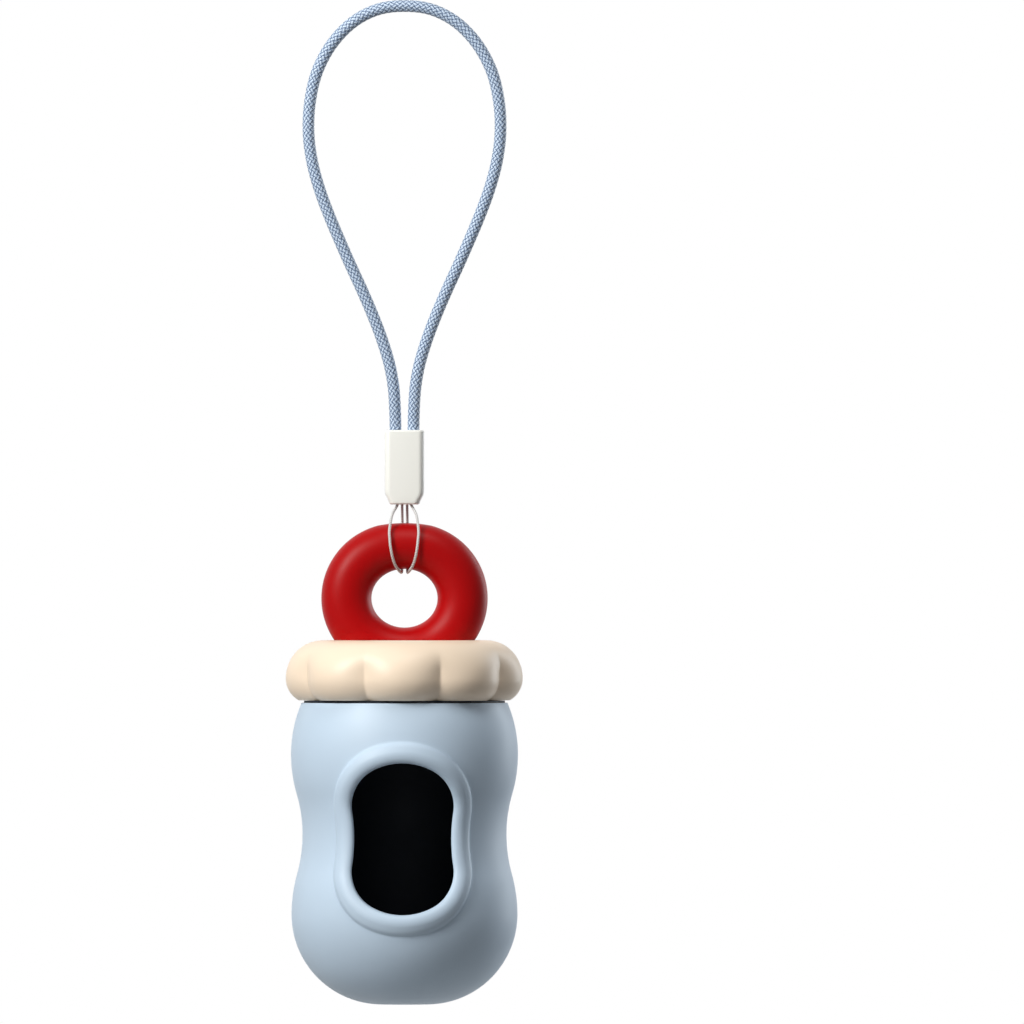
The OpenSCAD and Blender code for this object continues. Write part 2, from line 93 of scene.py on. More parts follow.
def seen_value(tree, unseen, seen):
    """One value for what the camera, a gloss or clear plastic sees, and one for stray light."""
    path_kind = tree.nodes.new("ShaderNodeLightPath")
    mask = path_kind.outputs["Is Camera Ray"]
    for kind in ("Is Glossy Ray", "Is Transmission Ray"):
        either = tree.nodes.new("ShaderNodeMath")
        either.operation = "MAXIMUM"
        tree.links.new(mask, either.inputs[0])
        tree.links.new(path_kind.outputs[kind], either.inputs[1])
        mask = either.outputs[0]
    value = tree.nodes.new("ShaderNodeMapRange")
    value.inputs["To Min"].default_value = unseen
    value.inputs["To Max"].default_value = seen
    tree.links.new(mask, value.inputs["Value"])
    return value.outputs["Result"]


world = bpy.data.worlds.new("studio")
scene.world = world
world.use_nodes = True
background = world.node_tree.nodes["Background"]
background.inputs["Color"].default_value = (1, 1, 1, 1)
world.node_tree.links.new(seen_value(world.node_tree, 0.08, 1.0), background.inputs["Strength"])

FLOOR_Z, FLOOR_R, FLOOR_SIDES = -0.34, 0.8, 96
floor_turns = [2 * pi * i / FLOOR_SIDES for i in range(FLOOR_SIDES)]
floor_mesh = bpy.data.meshes.new("floor")
floor_mesh.from_pydata([(FLOOR_R * cos(a), FLOOR_R * sin(a), FLOOR_Z) for a in floor_turns], [],
                       [list(range(FLOOR_SIDES))])
floor = bpy.data.objects.new("floor", floor_mesh)
scene.collection.objects.link(floor)
floor_paint = bpy.data.materials.new("floor_paint")
floor_paint.use_nodes = True
floor_tree = floor_paint.node_tree
floor_shader = floor_tree.nodes["Principled BSDF"]
floor_shader.inputs["Roughness"].default_value = 0.9
floor_shader.inputs["Specular IOR Level"].default_value = 0.0
floor_shader.inputs["Emission Color"].default_value = (1, 1, 1, 1)
floor_tree.links.new(seen_value(floor_tree, 0.3, 0.8), floor_shader.inputs["Base Color"])
floor_tree.links.new(seen_value(floor_tree, 0.0, 0.42), floor_shader.inputs["Emission Strength"])
floor_mesh.materials.append(floor_paint)

# Wrist cord: about 0.2 m of round braided polyester cord, folded into one loop, with both ends
# glued into the sleeve. Its route is the part's own, smoothed through the same points.
CORD_D = 2.4
CORD_TURNS = [(1.8, -92), (1.8, -88), (1.8, -83.6), (1.9, -79.5), (2.2, -75), (3, -70.5),
              (4.5, -65.5), (6.4, -60.5), (8.5, -55.6), (10.8, -50.6), (13, -45.6), (15.1, -40.6),
              (17, -35.4), (18.5, -29.8), (19.2, -24), (18.9, -18), (17.5, -12), (14.6, -6.5),
              (10.4, -2.1), (5.4, 0.5), (0, 1.2)]
CORD_ROUTE = [(x, 0, z) for x, z in CORD_TURNS] + [(-x, 0, z) for x, z in CORD_TURNS[-2::-1]]
CORD_STEP, CORD_SIDES = 0.14, 40
CORD_RELIEF = 0.08
BRAID_STRANDS, BRAID_PITCH = 8, 1.15
YARNS_PER_STRAND, YARN_RELIEF = 3, 0.06


def smooth_route(points, step):
    """Points every step mm along a smooth curve through the given ones."""
    p = np.array(points, float)
    q = np.vstack(([2 * p[0] - p[1]], p, [2 * p[-1] - p[-2]]))
    fine = []
    for i in range(1, len(q) - 2):
        a, b, c, d = q[i - 1], q[i], q[i + 1], q[i + 2]
        for t in np.linspace(0, 1, 24, endpoint=False):
            fine.append(0.5 * (2 * b + (c - a) * t + (2 * a - 5 * b + 4 * c - d) * t ** 2
                               + (3 * b - a - 3 * c + d) * t ** 3))
    fine.append(p[-1])
    fine = np.array(fine)
    along = np.concatenate(([0], np.cumsum(np.linalg.norm(np.diff(fine, axis=0), axis=1))))
    count = max(int(round(along[-1] / step)), 2)
    want = np.linspace(0, along[-1], count + 1)
    return np.stack([np.interp(want, along, fine[:, k]) for k in range(3)], axis=1)


def new_piece(name, mesh):
    piece = bpy.data.objects.new(name, mesh)
    scene.collection.objects.link(piece)
    return piece


def swept_tube(name, route, sides, radius_at, side_hint):
    """A closed tube along a route in mm. radius_at gives the radii for the lengths along it and
    the turns round it. Its UV map holds the length in mm and the share of a turn."""
    along = np.concatenate(([0], np.cumsum(np.linalg.norm(np.diff(route, axis=0), axis=1))))
    tangent = np.gradient(route, axis=0)
    tangent /= np.linalg.norm(tangent, axis=1)[:, None]
    u = np.zeros_like(route)
    hint = np.array(side_hint, float)
    for i, t in enumerate(tangent):
        hint = hint - hint.dot(t) * t
        hint /= np.linalg.norm(hint)
        u[i] = hint
    v = np.cross(tangent, u)
    turn = np.arange(sides) / sides
    radii = radius_at(along[:, None], turn[None, :])
    ring = (u[:, None, :] * np.cos(2 * pi * turn)[None, :, None]
            + v[:, None, :] * np.sin(2 * pi * turn)[None, :, None])
    points = (route[:, None, :] + radii[:, :, None] * ring) * MM
    rings = len(route)
    faces = []
    uvs = []
    for i in range(rings - 1):
        for k in range(sides):
            n = (k + 1) % sides
            faces.append((i * sides + k, i * sides + n, (i + 1) * sides + n, (i + 1) * sides + k))
            uvs += [along[i], k / sides, along[i], (k + 1) / sides]
            uvs += [along[i + 1], (k + 1) / sides, along[i + 1], k / sides]
    faces += [tuple(range(sides - 1, -1, -1)), tuple(range((rings - 1) * sides, rings * sides))]
    uvs += [0.0] * (4 * sides)
    mesh = bpy.data.meshes.new(name)
    mesh.from_pydata(points.reshape(-1, 3).tolist(), [], faces)
    mesh.uv_layers.new(name="along_round").data.foreach_set("uv", np.array(uvs, np.float32))
    mesh.polygons.foreach_set("use_smooth", [True] * len(mesh.polygons))
    return new_piece(name, mesh)


def node_material(name):
    material = bpy.data.materials.new(name)
    material.use_nodes = True
    return material, material.node_tree, material.node_tree.nodes["Principled BSDF"]


def maths(tree, kind, *values):
    """A maths node. Each value is a number or another node's output."""
    node = tree.nodes.new("ShaderNodeMath")
    node.operation = kind
    for socket, value in zip(node.inputs, values):
        if isinstance(value, (int, float)):
            socket.default_value = value
        else:
            tree.links.new(value, socket)
    return node.outputs[0]


def ramp(tree, factor, stops):
    node = tree.nodes.new("ShaderNodeValToRGB")
    while len(node.color_ramp.elements) < len(stops):
        node.color_ramp.elements.new(0.5)
    for element, (position, colour) in zip(node.color_ramp.elements, stops):
        element.position = position
        element.color = (*colour, 1)
    tree.links.new(factor, node.inputs["Fac"])
    return node.outputs["Color"]


def along_and_round(tree):
    """The length along a swept tube, in mm, and the share of a turn round it."""
    coords = tree.nodes.new("ShaderNodeUVMap")
    coords.uv_map = "along_round"
    parts = tree.nodes.new("ShaderNodeSeparateXYZ")
    tree.links.new(coords.outputs["UV"], parts.inputs[0])
    return parts.outputs[0], parts.outputs[1]


def braid_height(along, turn):
    """0 in the gaps of the braid, 1 on the strands: each diamond shows the strand on top."""
    a = BRAID_STRANDS * turn + along / BRAID_PITCH
    b = BRAID_STRANDS * turn - along / BRAID_PITCH
    over = (np.floor(a) + np.floor(b)) % 2
    return np.where(over > 0.5, np.abs(np.sin(pi * a)), np.abs(np.sin(pi * b))) ** 0.6


def braided_cord():
    """The same braid as colour and fine relief, with painted shade: near black in the gaps and darker at the
    strands' edges than on their pale crowns, and thin yarns in each.
    """
    material, tree, shader = node_material("braided_cord")
    length, turn = along_and_round(tree)
    round_strands = maths(tree, "MULTIPLY", turn, BRAID_STRANDS)
    steps = maths(tree, "DIVIDE", length, BRAID_PITCH)
    rising = maths(tree, "ADD", round_strands, steps)
    falling = maths(tree, "SUBTRACT", round_strands, steps)
    squares = maths(tree, "ADD", maths(tree, "FLOOR", rising), maths(tree, "FLOOR", falling))
    positive = maths(tree, "ADD", squares, 2000)
    over = maths(tree, "GREATER_THAN", maths(tree, "MODULO", positive, 2), 0.5)
    under = maths(tree, "SUBTRACT", 1, over)

    def on_top(rate, smooth):
        waves = [maths(tree, "SINE", maths(tree, "MULTIPLY", way, rate)) for way in (rising, falling)]
        if smooth:
            waves = [maths(tree, "ABSOLUTE", wave) for wave in waves]
        shares = [maths(tree, "MULTIPLY", side, wave) for side, wave in zip((over, under), waves)]
        return maths(tree, "ADD", *shares)

    strand = on_top(pi, True)
    yarn = on_top(2 * YARNS_PER_STRAND * pi, False)
    # Painted shade: the ramp runs from near black in the gaps through darker strand edges to pale strand
    # crowns.
    gap, edge, crown = (0.012, 0.028, 0.08), (0.15, 0.235, 0.4), (0.64, 0.78, 0.97)
    tree.links.new(ramp(tree, strand, [(0.0, gap), (0.42, edge), (1.0, crown)]), shader.inputs["Base Color"])
    bump = tree.nodes.new("ShaderNodeBump")
    bump.inputs["Strength"].default_value = 0.7
    bump.inputs["Distance"].default_value = 0.0001
    yarn_relief = maths(tree, "MULTIPLY", yarn, YARN_RELIEF)
    tree.links.new(maths(tree, "ADD", strand, yarn_relief), bump.inputs["Height"])
    tree.links.new(bump.outputs["Normal"], shader.inputs["Normal"])
    shader.inputs["Roughness"].default_value = 0.42
    shader.inputs["Sheen Weight"].default_value = 0.1
    return material


def cord_radius(along, turn):
    return CORD_D / 2 * (1 - CORD_RELIEF + CORD_RELIEF * braid_height(along, turn))


cord_route = smooth_route(CORD_ROUTE, CORD_STEP)
cord = swept_tube("wrist_cord_braid", cord_route, CORD_SIDES, cord_radius, (0, 1, 0))
cord.data.materials.append(braided_cord())
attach(cord, "strap")
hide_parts("wrist_cord")

# Sleeve: one moulded plastic block over the cord's two ends and the knot of the thin thread. Its
# sides draw in at the foot, every edge is softly rounded, and the foot has a small scooped mouth.
SLEEVE_W, SLEEVE_DEPTH, SLEEVE_TOP, SLEEVE_LEN = 7.8, 5.0, -83.6, 14.9
SLEEVE_TIP = SLEEVE_TOP - SLEEVE_LEN
SLEEVE_TIP_W, SLEEVE_TAPER = 6.1, 2.0
SLEEVE_EDGE, SLEEVE_CORNER = 0.45, 1.2
SLEEVE_SIDE = [(-0.7, 0.48), (-0.1, 0.14), (0.5, 0.02), (1.2, 0)]
CORD_BORE_GAP = 0.12
POCKET_W, POCKET_D, POCKET_CORNER, POCKET_H = 4.4, 2.6, 0.8, 4.2
MOUTH_SCOOP_R, MOUTH_SCOOP_W, MOUTH_SCOOP_H = 2.3, 2.58, 0.2


def rounded_box_outline(half_w, half_d, r, steps=8):
    """Points corner by corner round a rectangle with rounded corners."""
    points = []
    for cx, cy, start in ((1, 1, 0), (-1, 1, 90), (-1, -1, 180), (1, -1, 270)):
        for i in range(steps + 1):
            a = radians(start + 90 * i / steps)
            points.append((cx * (half_w - r) + r * cos(a), cy * (half_d - r) + r * sin(a)))
    return points


def stacked_outlines(name, layers):
    """A closed piece through outlines given as (height, points), from the bottom up, in mm."""
    count = len(layers[0][1])
    points = [(x * MM, y * MM, z * MM) for z, outline in layers for x, y in outline]
    faces = []
    for k in range(len(layers) - 1):
        for i in range(count):
            j = (i + 1) % count
            faces.append((k * count + i, k * count + j, (k + 1) * count + j, (k + 1) * count + i))
    faces.append(tuple(range(count - 1, -1, -1)))
    faces.append(tuple(range((len(layers) - 1) * count, len(layers) * count)))
    mesh = bpy.data.meshes.new(name)
    mesh.from_pydata(points, [], faces)
    return new_piece(name, mesh)


def rod(name, r, z0, z1, x=0.0, sides=48):
    turns = [2 * pi * i / sides for i in range(sides)]
    outline = [(x + r * cos(a), r * sin(a)) for a in turns]
    return stacked_outlines(name, [(z0, outline), (z1, outline)])


def cut_with(piece, cutter):
    """Cut one piece with another, and drop the cutter."""
    boolean = piece.modifiers.new("cut", "BOOLEAN")
    boolean.object = cutter
    boolean.solver = "EXACT"
    bpy.context.view_layer.objects.active = piece
    bpy.ops.object.modifier_apply(modifier="cut")
    bpy.data.objects.remove(cutter)


def smooth_by_angle(piece, limit):
    """Smooth shading that keeps edges sharper than the limit, in degrees, crisp."""
    piece.data.polygons.foreach_set("use_smooth", [True] * len(piece.data.polygons))
    piece.data.update()
    shape = bmesh.new()
    shape.from_mesh(piece.data)
    for edge in shape.edges:
        edge.smooth = len(edge.link_faces) == 2 and edge.calc_face_angle(0) < radians(limit)
    shape.to_mesh(piece.data)
    shape.free()


def noise(tree, vector, scale, detail=2.0):
    node = tree.nodes.new("ShaderNodeTexNoise")
    node.inputs["Detail"].default_value = detail
    tree.links.new(vector, node.inputs["Vector"])
    if isinstance(scale, (int, float)):
        node.inputs["Scale"].default_value = scale
    else:
        tree.links.new(scale, node.inputs["Scale"])
    return node.outputs["Fac"]


def build_moulded_effect():
    """What all moulded surfaces share: a faint cloudiness of the colour, a fine grain, and a
    gloss that varies a little from place to place."""
    tree = bpy.data.node_groups.new("moulded_effect", "ShaderNodeTree")
    sockets = [("Colour", "INPUT", "Color"), ("Cloudiness", "INPUT", "Float"),
               ("Grain scale", "INPUT", "Float"), ("Grain depth", "INPUT", "Float"),
               ("Roughness", "INPUT", "Float"), ("Colour", "OUTPUT", "Color"),
               ("Roughness", "OUTPUT", "Float"), ("Normal", "OUTPUT", "Vector")]
    for name, way, kind in sockets:
        tree.interface.new_socket(name, in_out=way, socket_type="NodeSocket" + kind)
    given = tree.nodes.new("NodeGroupInput").outputs
    result = tree.nodes.new("NodeGroupOutput").inputs
    spot = tree.nodes.new("ShaderNodeTexCoord").outputs["Object"]
    cloud = maths(tree, "SUBTRACT", noise(tree, spot, 70), 0.5)
    tone = tree.nodes.new("ShaderNodeVectorMath")
    tone.operation = "SCALE"
    tree.links.new(given["Colour"], tone.inputs[0])
    tree.links.new(maths(tree, "MULTIPLY_ADD", cloud, given["Cloudiness"], 1), tone.inputs["Scale"])
    tree.links.new(tone.outputs[0], result["Colour"])
    wear = maths(tree, "SUBTRACT", noise(tree, spot, 160, 4), 0.5)
    tree.links.new(maths(tree, "MULTIPLY_ADD", wear, 0.12, given["Roughness"]), result["Roughness"])
    grain = tree.nodes.new("ShaderNodeBump")
    grain.inputs["Distance"].default_value = 0.0001
    tree.links.new(given["Grain depth"], grain.inputs["Strength"])
    tree.links.new(noise(tree, spot, given["Grain scale"]), grain.inputs["Height"])
    tree.links.new(grain.outputs["Normal"], result["Normal"])
    return tree


moulded_effect = build_moulded_effect()


def moulded(name, colour, roughness, specular=0.4):
    material, tree, shader = node_material(name)
    effect = tree.nodes.new("ShaderNodeGroup")
    effect.node_tree = moulded_effect
    effect.inputs["Colour"].default_value = (*colour, 1)
    effect.inputs["Cloudiness"].default_value = 0.08
    effect.inputs["Grain scale"].default_value = 2600
    effect.inputs["Grain depth"].default_value = 0.05
    effect.inputs["Roughness"].default_value = roughness
    tree.links.new(effect.outputs["Colour"], shader.inputs["Base Color"])
    tree.links.new(effect.outputs["Roughness"], shader.inputs["Roughness"])
    tree.links.new(effect.outputs["Normal"], shader.inputs["Normal"])
    shader.inputs["Specular IOR Level"].default_value = specular
    return material


def srgb(r, g, b):
    """A colour given as it shows on a screen, 0 to 255, as linear values."""
    return tuple(c / 255 / 12.92 if c <= 10 else ((c / 255 + 0.055) / 1.055) ** 2.4 for c in (r, g, b))


sleeve_layers = []
for a in (radians(90 * i / 5) for i in range(6)):
    inset = SLEEVE_EDGE * (1 - sin(a))
    sleeve_layers.append((SLEEVE_TIP + SLEEVE_EDGE * (1 - cos(a)), SLEEVE_TIP_W / 2 - inset, inset))
for past_taper, inward in SLEEVE_SIDE:
    sleeve_layers.append((SLEEVE_TIP + SLEEVE_TAPER + past_taper, SLEEVE_W / 2 - inward, 0))
for a in (radians(90 * i / 5) for i in range(6)):
    inset = SLEEVE_EDGE * (1 - cos(a))
    sleeve_layers.append((SLEEVE_TOP - SLEEVE_EDGE * (1 - sin(a)), SLEEVE_W / 2 - inset, inset))
sleeve = stacked_outlines("cord_sleeve_shell", [
    (z, rounded_box_outline(half_w, SLEEVE_DEPTH / 2 - inset, SLEEVE_CORNER))
    for z, half_w, inset in sleeve_layers])
cord_end_x, cord_end_z = CORD_TURNS[0]
bore_r = CORD_D / 2 + CORD_BORE_GAP
for side in (-1, 1):
    cut_with(sleeve, rod("cord_bore", bore_r, cord_end_z - 0.01, SLEEVE_TOP + 1, side * cord_end_x))
pocket_outline = rounded_box_outline(POCKET_W / 2, POCKET_D / 2, POCKET_CORNER)
cut_with(sleeve, stacked_outlines("knot_pocket", [
    (SLEEVE_TIP - 1, pocket_outline), (SLEEVE_TIP + POCKET_H, pocket_outline)]))
scoop = rod("mouth_scoop", MOUTH_SCOOP_R, -MOUTH_SCOOP_W / 2, MOUTH_SCOOP_W / 2)
scoop.data.transform(Matrix.Rotation(pi / 2, 4, "X"))
scoop.data.transform(Matrix.Translation((0, 0, (SLEEVE_TIP + MOUTH_SCOOP_H) * MM)))
cut_with(sleeve, scoop)
smooth_by_angle(sleeve, 30)
sleeve.data.materials.clear()
sleeve.data.materials.append(moulded("sleeve_plastic_cream", srgb(250, 251, 247), 0.35))
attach(sleeve, "strap")
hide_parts("cord_sleeve")

# Thread: thin two-ply twisted thread. Each loop runs from the knot in the sleeve, down in front
# of the ring, under its bar and up behind it, 40 mm in all. The knot is inside the sleeve.
THREAD_D, THREAD_DROP = 0.6, 3.7
THREAD_STEP, THREAD_SIDES = 0.12, 16
PLY_PITCH, PLY_RELIEF = 1.1, 0.38
RING_TUBE_R = 4.75
RING_BAR_Z = SLEEVE_TIP - THREAD_DROP - RING_TUBE_R
GLUE_GAP, KNOT_GAP = 0.05, 0.1
KNOT_R, KNOT_LINE_R = 1.2, 0.87
KNOT_Z = SLEEVE_TIP + POCKET_H - GLUE_GAP - KNOT_R
THREAD_TOP = KNOT_Z - KNOT_R - KNOT_GAP
# How far out a thread lies, its turn round the ring's bar in degrees, and its gap to the bar
THREAD_TURNS = [(2.9, 52, 0.45), (2.85, 72, 0.45), (2.65, 92, 0.45), (2.3, 112, 0.4), (1.8, 132, 0.3),
                (1.2, 152, 0.15), (0.75, 170, 0.1), (0.6, 190, 0.1), (0.55, 212, 0.1), (0.5, 236, 0.1),
                (0.5, 260, 0.1), (0.5, 284, 0.1), (0.5, 306, 0.15)]


def thread_route(side):
    points = [(side * 1.1, -0.5, THREAD_TOP), (side * 1.35, -0.8, SLEEVE_TIP),
              (side * 2.4, -2.3, SLEEVE_TIP - 0.55 * THREAD_DROP)]
    for out, turn, gap in THREAD_TURNS:
        r = RING_TUBE_R + THREAD_D / 2 + gap
        points.append((side * out, -r * sin(radians(turn)), RING_BAR_Z + r * cos(radians(turn))))
    return points + [(side * 0.5, 0.8, SLEEVE_TIP), (side * 0.5, 0.5, THREAD_TOP)]


def two_plies(along, turn):
    """Radius of two round strands laid side by side, turning as they go."""
    across = np.abs(np.cos(2 * pi * turn - 2 * pi * along / PLY_PITCH))
    return THREAD_D / 2 * (1 - PLY_RELIEF + PLY_RELIEF * across)


def twisted_thread():
    """Painted shade: darker in the groove between the two plies, and pale where a ply stands out."""
    material, tree, shader = node_material("twisted_thread")
    length, turn = along_and_round(tree)
    round_plies = maths(tree, "MULTIPLY", turn, 2)
    lean = maths(tree, "SUBTRACT", round_plies, maths(tree, "DIVIDE", length, PLY_PITCH / 2))
    ply = maths(tree, "ABSOLUTE", maths(tree, "COSINE", maths(tree, "MULTIPLY", lean, pi)))
    # Painted shade: grey in the groove between the plies, pale on the top of each ply.
    ply_painted_shade = [(0.0, srgb(118, 120, 122)), (0.5, srgb(200, 201, 202)), (1.0, srgb(234, 234, 232))]
    tree.links.new(ramp(tree, ply, ply_painted_shade), shader.inputs["Base Color"])
    shader.inputs["Roughness"].default_value = 0.5
    return material


thread_twist = twisted_thread()
for side, word in ((-1, "left"), (1, "right")):
    turns = thread_route(side)
    route = smooth_route(turns, THREAD_STEP)
    loop = swept_tube("thread_loop_" + word + "_twist", route, THREAD_SIDES, two_plies, (1, 0, 0))
    loop.data.materials.append(thread_twist)
    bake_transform(loop)
    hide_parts("thread_loop_" + word)


def plain_thread(along, turn):
    return np.full((along.size, turn.size), THREAD_D / 2)


knot_route = []
for i in range(61):
    a = 2 * pi * (i % 60) / 60
    knot_route.append((KNOT_LINE_R * (sin(a) + 2 * sin(2 * a)) / 3,
                       KNOT_LINE_R * (cos(a) - 2 * cos(2 * a)) / 3,
                       KNOT_Z - 0.55 * KNOT_LINE_R * sin(3 * a)))
knot = swept_tube("thread_knot_tied", np.array(knot_route), 12, plain_thread, (0, 0, 1))
knot.data.materials.append(thread_twist)
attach(knot, "strap")
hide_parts("thread_knot")

# Ring: one solid loop of dyed silicone rubber, thickest at its sides, cut off level where it
# stands on the cap. A tongue under the cut goes through the cap's top and takes the screws.
RING_PATH_R, RING_CENTRE_H = 10.3, 8.4
RING_Z = RING_BAR_Z - RING_PATH_R
CAP_TOP = RING_Z - RING_CENTRE_H
RING_STRAIGHT, RING_STRAIGHT_EASE = 2.8, 4
RING_OUTER_R, RING_EXTRA_W = 15.05, 0.2
RING_HOLE_W, RING_HOLE_H, RING_DEPTH = 6.6, 5.85, 4.75
RING_ROUND, RING_SECTION = 192, 64
TONGUE_W, TONGUE_D, TONGUE_CORNER = 22, 4, 1.9
TONGUE_FOOT, TONGUE_HEAD = 2, 0.9

shape = bmesh.new()
rows = []
for a in (2 * pi * i / RING_ROUND for i in range(RING_ROUND)):
    straight = RING_STRAIGHT / 2 * max(min(cos(a) * RING_STRAIGHT_EASE, 1), -1)
    outer = Vector(((RING_OUTER_R + RING_EXTRA_W) * cos(a) + straight, 0, RING_OUTER_R * sin(a)))
    hole = Vector((RING_HOLE_W * cos(a), 0, RING_HOLE_H * sin(a)))
    middle, half = (outer + hole) / 2, (outer - hole) / 2
    rows.append([shape.verts.new((middle + half * cos(b) + Vector((0, -RING_DEPTH * sin(b), RING_Z))) * MM)
                 for b in (2 * pi * k / RING_SECTION for k in range(RING_SECTION))])
for i in range(RING_ROUND):
    for k in range(RING_SECTION):
        j, n = (i + 1) % RING_ROUND, (k + 1) % RING_SECTION
        shape.faces.new((rows[i][k], rows[j][k], rows[j][n], rows[i][n]))
bmesh.ops.bisect_plane(shape, geom=list(shape.verts) + list(shape.edges) + list(shape.faces),
                       plane_co=(0, 0, CAP_TOP * MM), plane_no=(0, 0, 1), clear_inner=True)
bmesh.ops.holes_fill(shape, edges=[edge for edge in shape.edges if edge.is_boundary], sides=0)
bmesh.ops.recalc_face_normals(shape, faces=shape.faces)
mesh = bpy.data.meshes.new("ring_loop")
shape.to_mesh(mesh)
shape.free()
ring = new_piece("ring_loop", mesh)
for face in mesh.polygons:
    on_flat_cut = abs(face.normal.z + 1) <= 0.001
    face.use_smooth = not on_flat_cut
ring_red = moulded("ring_silicone_red", srgb(170, 2, 5), 0.4, specular=0.14)
mesh.materials.append(ring_red)
tongue_outline = rounded_box_outline(TONGUE_W / 2, TONGUE_D / 2, TONGUE_CORNER)
tongue = stacked_outlines("ring_tongue", [
    (CAP_TOP - TONGUE_FOOT, tongue_outline), (CAP_TOP + TONGUE_HEAD, tongue_outline)])
tongue.data.materials.append(ring_red)
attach(ring, "cap")
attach(tongue, "cap")
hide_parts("ring")

# Screws: two small countersunk steel screws, driven up from inside the cap into the ring's
# tongue. They keep the part's own shape, with fine scratches in the metal.


def finish_part(node, material):
    """Give one of the part's own pieces a material."""
    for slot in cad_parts[node].material_slots:
        slot.link = "OBJECT"
        slot.material = material


def scratched_steel():
    material, tree, shader = node_material("screw_steel")
    shader.inputs["Base Color"].default_value = (0.55, 0.55, 0.56, 1)
    shader.inputs["Metallic"].default_value = 1
    spot = tree.nodes.new("ShaderNodeTexCoord").outputs["Object"]
    scratches = noise(tree, spot, 1500)
    tree.links.new(maths(tree, "MULTIPLY_ADD", scratches, 0.25, 0.25), shader.inputs["Roughness"])
    return material


finish_part("ring_screws", scratched_steel())

# Cap: one moulded piece with nine soft lobes round its side, a flat top and a round recess
# underneath for the bottle's neck. The ring's tongue goes through a slot in the top.
CAP_H, CAP_R, LOBES, LOBE_R = 12.0, 23.9, 9, 10.5
CAP_TOP_ROUND, CAP_FOOT_INSET, CAP_RECESS_R, CAP_TOP_T = 7.6, 2.6, 18.8, 2.0
CAP_SIDES = 720
CREASE_SOFT, CREASE_SHARP = 2.2, 0.5
CREASE_FROM, CREASE_OVER = 2, 4
SLOT_GAP = 0.1


def lobe_dips(soften):
    """How far the side lies inside the lobes' outermost radius, all the way round, with its
    creases softened by some degrees."""
    angle = np.arange(CAP_SIDES) * 2 * pi / CAP_SIDES
    whole = 2 * pi / LOBES
    off = angle - whole * np.round(angle / whole)
    centre = CAP_R - LOBE_R
    dip = CAP_R - centre * np.cos(off) - np.sqrt(LOBE_R ** 2 - (centre * np.sin(off)) ** 2)
    reach = 40
    kernel = np.exp(-0.5 * (np.arange(-reach, reach + 1) / (soften * CAP_SIDES / 360)) ** 2)
    kernel /= kernel.sum()
    return np.convolve(np.concatenate((dip[-reach:], dip, dip[:reach])), kernel, mode="valid")


def clamp(value):
    return min(max(value, 0), 1)


foot_h = CAP_H - CAP_TOP_ROUND
foot_r = (foot_h ** 2 + CAP_FOOT_INSET ** 2) / (2 * CAP_FOOT_INSET)
cap_section = [(CAP_R - CAP_TOP_ROUND * (1 - cos(a)), -CAP_TOP_ROUND * (1 - sin(a)))
               for a in np.linspace(pi / 2, 0, 30)]
cap_section += [(CAP_R - foot_r * (1 - cos(a)), -CAP_TOP_ROUND - foot_r * sin(a))
                for a in np.linspace(0, asin(foot_h / foot_r), 21)[1:]]
angle = np.arange(CAP_SIDES) * 2 * pi / CAP_SIDES
soft_dip, sharp_dip = lobe_dips(CREASE_SOFT), lobe_dips(CREASE_SHARP)
cap_layers = []
for r, z in cap_section[::-1]:
    share = clamp(-z / CAP_TOP_ROUND)
    share = share * share * (3 - 2 * share)
    low = clamp((-z - CREASE_FROM) / CREASE_OVER)
    radius = r - share * ((1 - low) * soft_dip + low * sharp_dip)
    cap_layers.append((CAP_TOP + z, list(zip(radius * np.sin(angle), -radius * np.cos(angle)))))
for r in (CAP_R - CAP_TOP_ROUND - 2, 6):
    cap_layers.append((CAP_TOP, list(zip(r * np.sin(angle), -r * np.cos(angle)))))
cap = stacked_outlines("cap_cover_lobed", cap_layers)
cut_with(cap, rod("neck_recess", CAP_RECESS_R, CAP_TOP - CAP_H - 1, CAP_TOP - CAP_TOP_T, sides=180))
slot_outline = rounded_box_outline(
    TONGUE_W / 2 + SLOT_GAP, TONGUE_D / 2 + SLOT_GAP, TONGUE_CORNER + SLOT_GAP)
cut_with(cap, stacked_outlines("tongue_slot", [(CAP_TOP - 4, slot_outline), (CAP_TOP + 1, slot_outline)]))
smooth_by_angle(cap, 30)
cap.data.materials.clear()
cap.data.materials.append(moulded("cap_plastic_cream", srgb(250, 230, 207), 0.42))
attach(cap, "cap")
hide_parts("cap_cover")

# Plug: an off-white moulded plate and skirt that push into the bottle's neck, screwed up under
# the cap's top. It keeps the part's own shape.
finish_part("cap_plug", moulded("plug_plastic", srgb(226, 216, 200), 0.4))

# Band: a soft dark rubber ring, stretched into the groove of the plug's skirt. Its two round
# ribs grip the inside of the bottle's neck.
SKIN_TOP, SKIRT_H = -138.15, 8.3
BAND_Z, BAND_H = SKIN_TOP - SKIRT_H / 2, 2.4
BAND_IN_R, BAND_OUT_R, RIB_R, BAND_GAP = 16.5, 17.15, 0.3, 0.05


def turned(name, profile, sides=160):
    """A closed ring turned from a profile of (radius, height), in mm."""
    points = []
    faces = []
    n = len(profile)
    for i in range(sides):
        a = 2 * pi * i / sides
        j = (i + 1) % sides
        points += [(r * cos(a) * MM, r * sin(a) * MM, z * MM) for r, z in profile]
        faces += [(i * n + k, j * n + k, j * n + (k + 1) % n, i * n + (k + 1) % n) for k in range(n)]
    mesh = bpy.data.meshes.new(name)
    mesh.from_pydata(points, [], faces)
    return new_piece(name, mesh)


